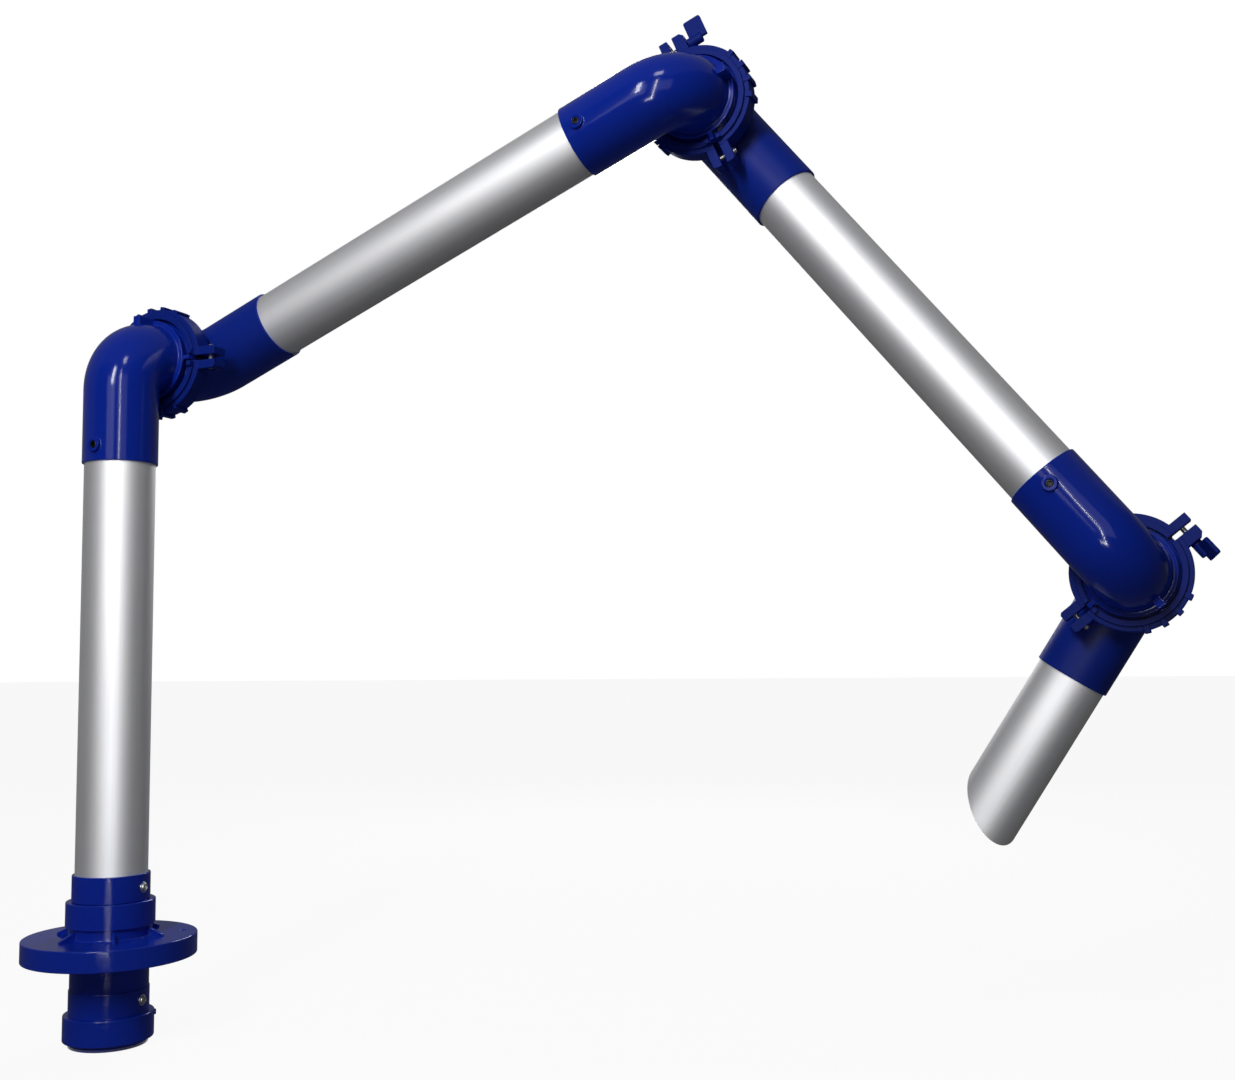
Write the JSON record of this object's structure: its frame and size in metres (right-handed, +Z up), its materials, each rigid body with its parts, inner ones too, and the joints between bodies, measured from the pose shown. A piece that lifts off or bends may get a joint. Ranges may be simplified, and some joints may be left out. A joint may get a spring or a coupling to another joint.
{
  "type": "fume extraction arm",
  "caption": "Bench-mounted jointed duct arm for drawing off fumes: swivelling mast, two arm tubes and a slant-cut nozzle tube, joined by clamped friction elbows.",
  "frame": {"origin": "centre of the bench flange's underside, on the mast axis", "axes": "+Z up the mast, +X the way the arm reaches out at rest, +Y along the elbow joint axes, from the mast towards the nozzle"},
  "size_m": [1.2105, 0.517, 1.106],
  "materials": {
    "anodised_tube": "satin anodised tube",
    "gloss_blue": "glossy cobalt moulding",
    "satin_blue": "satin cobalt moulding",
    "clamp_blue": "satin cobalt moulding",
    "turned_blue": "turned cobalt plastic",
    "zinc_steel": "zinc plated",
    "black_rubber": "matte",
    "ivory_plastic": "matte"
  },
  "bodies": {
    "base": {"base_flange": "turned_blue", "swivel_housing": "turned_blue", "swivel_bush": "ivory_plastic", "swivel_seal": "black_rubber", "duct_collar": "turned_blue", "outlet_ring": "turned_blue", "duct_collar_screw": "zinc_steel"},
    "mast": {"tube_collar": "turned_blue", "retaining_clip": "zinc_steel", "tube_collar_screw": "zinc_steel", "mast_tube": "anodised_tube", "mast_elbow": "gloss_blue", "mast_grub_screw": "zinc_steel", "joint_1_near_clamp": "clamp_blue", "joint_1_far_clamp": "clamp_blue", "joint_1_hinge_bolt": "zinc_steel", "joint_1_hinge_nut": "zinc_steel", "joint_1_tension_bolt": "zinc_steel", "joint_1_friction_ring": "black_rubber"},
    "lower_arm": {"lower_arm_entry_elbow": "satin_blue", "lower_arm_tube": "anodised_tube", "lower_arm_exit_elbow": "gloss_blue", "lower_arm_grub_screws": "zinc_steel", "joint_2_near_clamp": "clamp_blue", "joint_2_far_clamp": "clamp_blue", "joint_2_hinge_bolt": "zinc_steel", "joint_2_hinge_nut": "zinc_steel", "joint_2_tension_bolt": "zinc_steel", "joint_2_friction_ring": "black_rubber"},
    "upper_arm": {"upper_arm_entry_elbow": "satin_blue", "upper_arm_tube": "anodised_tube", "upper_arm_exit_elbow": "gloss_blue", "upper_arm_grub_screws": "zinc_steel", "joint_3_near_clamp": "clamp_blue", "joint_3_far_clamp": "clamp_blue", "joint_3_hinge_bolt": "zinc_steel", "joint_3_hinge_nut": "zinc_steel", "joint_3_tension_bolt": "zinc_steel", "joint_3_friction_ring": "black_rubber"},
    "nozzle": {"nozzle_elbow": "satin_blue", "nozzle_tube": "anodised_tube", "nozzle_grub_screw": "zinc_steel"},
    "knob_1": {"joint_1_wing_knob": "clamp_blue"},
    "knob_2": {"joint_2_wing_knob": "clamp_blue"},
    "knob_3": {"joint_3_wing_knob": "clamp_blue"}
  },
  "joints": [
    {"name": "base_swivel", "type": "hinge", "parent": "base", "child": "mast", "pos_m": [0, 0, 0.034], "axis": [0, 0, 1], "continuous": true},
    {"name": "elbow_joint_1", "type": "hinge", "parent": "mast", "child": "lower_arm", "pos_m": [0, 0.064, 0.658], "axis": [0, 1, 0], "range_deg": [-60, 65]},
    {"name": "elbow_joint_2", "type": "hinge", "parent": "lower_arm", "child": "upper_arm", "pos_m": [0.61626, 0.192, 0.91579], "axis": [0, 1, 0], "range_deg": [-73, 88]},
    {"name": "elbow_joint_3", "type": "hinge", "parent": "upper_arm", "child": "nozzle", "pos_m": [1.03483, 0.32, 0.39519], "axis": [0, 1, 0], "range_deg": [-150, 80]},
    {"name": "knob_turn_1", "type": "hinge", "parent": "mast", "child": "knob_1", "pos_m": [-0.067, 0.064, 0.678], "axis": [0, 0, 1], "range_deg": [-10, 120]},
    {"name": "knob_turn_2", "type": "hinge", "parent": "lower_arm", "child": "knob_2", "pos_m": [0.60885, 0.192, 0.98531], "axis": [0.9225, 0, 0.3859], "range_deg": [-40, 90]},
    {"name": "knob_turn_3", "type": "hinge", "parent": "upper_arm", "child": "knob_3", "pos_m": [1.09957, 0.32, 0.42158], "axis": [0.6266, 0, -0.7793], "range_deg": [-108, 22]}
  ]
}
